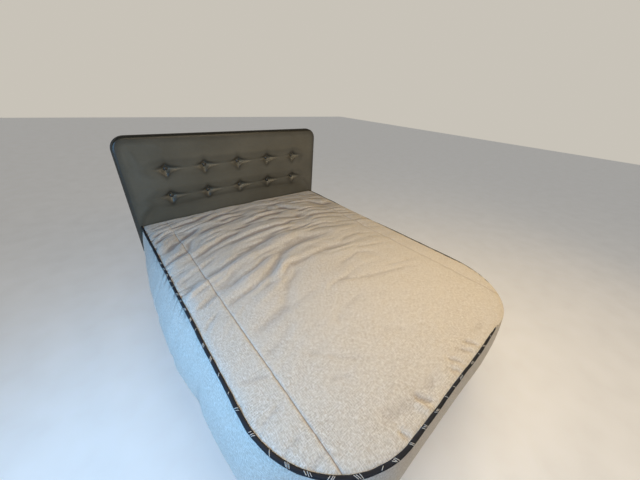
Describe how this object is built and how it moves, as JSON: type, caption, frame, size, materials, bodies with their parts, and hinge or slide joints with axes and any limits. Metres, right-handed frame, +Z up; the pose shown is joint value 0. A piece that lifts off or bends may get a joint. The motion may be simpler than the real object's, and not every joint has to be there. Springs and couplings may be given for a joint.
{
  "type": "motorhome island bed",
  "caption": "Queen bed of a motorhome: storage base with lift-up deck on gas struts, radius-corner mattress, piped bedspread with skirt, tufted headboard.",
  "frame": {"origin": "on the floor under the middle of the whole bed", "axes": "+X across the bed to the right when standing at the foot, +Y towards the headboard, +Z up"},
  "size_m": [1.704, 2.084, 1.247],
  "materials": {
    "cabinet_ply": "satin dark wood veneer",
    "deck_ply": "bare plywood",
    "timber": "planed softwood",
    "headboard_vinyl": "satin grained vinyl",
    "button_vinyl": "satin vinyl",
    "welt_vinyl": "satin vinyl",
    "mattress_ticking": "woven",
    "bedspread_cloth": "slub woven, quilt weight",
    "piping_cloth": "twisted cord with pale flecks",
    "strap_webbing": "woven webbing",
    "zinc_steel": "zinc plated",
    "strut_black": "satin black",
    "rod_chrome": "polished"
  },
  "bodies": {
    "base": {"base_corner_left": "cabinet_ply", "base_corner_right": "cabinet_ply", "base_divider": "cabinet_ply", "base_foot_panel": "cabinet_ply", "base_head_panel": "cabinet_ply", "base_side_left": "cabinet_ply", "base_side_right": "cabinet_ply", "deck_cleat_left": "timber", "deck_cleat_right": "timber", "deck_fixed": "deck_ply", "floor_cleat_left": "timber", "floor_cleat_right": "timber", "headboard_board": "deck_ply", "headboard_buttons": "button_vinyl", "headboard_pad": "headboard_vinyl", "headboard_upright_left": "timber", "headboard_upright_right": "timber", "headboard_welt": "welt_vinyl", "hinge_leaf_fixed": "zinc_steel", "hinge_pin": "zinc_steel", "mattress_head": "mattress_ticking", "strut_bracket_base_left": "zinc_steel", "strut_bracket_base_right": "zinc_steel"},
    "deck": {"bedspread_piping": "piping_cloth", "bedspread_skirt": "bedspread_cloth", "bedspread_top": "bedspread_cloth", "deck_batten_foot": "timber", "deck_batten_left": "timber", "deck_batten_middle": "timber", "deck_batten_right": "timber", "deck_lift": "deck_ply", "hinge_leaf_lift": "zinc_steel", "lift_strap": "strap_webbing", "mattress_foot": "mattress_ticking", "strut_bracket_deck_left": "zinc_steel", "strut_bracket_deck_right": "zinc_steel"},
    "cylinder_left": {"strut_cylinder_left": "strut_black"},
    "cylinder_right": {"strut_cylinder_right": "strut_black"},
    "rod_left": {"strut_rod_left": "rod_chrome"},
    "rod_right": {"strut_rod_right": "rod_chrome"}
  },
  "joints": [
    {"name": "lift", "type": "hinge", "parent": "base", "child": "deck", "pos_m": [0, 0.42, 0.418], "axis": [-1, 0, 0], "range_deg": [0, 35], "deforming": ["mattress_foot", "bedspread_top", "bedspread_skirt", "bedspread_piping"]},
    {"name": "strut_swing_left", "type": "hinge", "parent": "base", "child": "cylinder_left", "pos_m": [-0.64, 0.25, 0.178], "axis": [-1, 0, 0], "range_deg": [-1, 20]},
    {"name": "strut_stroke_left", "type": "slide", "parent": "cylinder_left", "child": "rod_left", "axis": [0, -0.5412, 0.8409], "range_m": [0, 0.156]},
    {"name": "strut_swing_right", "type": "hinge", "parent": "base", "child": "cylinder_right", "pos_m": [0.64, 0.25, 0.178], "axis": [-1, 0, 0], "range_deg": [-1, 20]},
    {"name": "strut_stroke_right", "type": "slide", "parent": "cylinder_right", "child": "rod_right", "axis": [0, -0.5412, 0.8409], "range_m": [0, 0.156]}
  ],
  "couplings": [
    {"joint": "strut_swing_left", "follows": "lift", "ratio": 0.5273},
    {"joint": "strut_stroke_left", "follows": "lift", "m_per_rad": 0.2546},
    {"joint": "strut_swing_right", "follows": "lift", "ratio": 0.5273},
    {"joint": "strut_stroke_right", "follows": "lift", "m_per_rad": 0.2546}
  ]
}
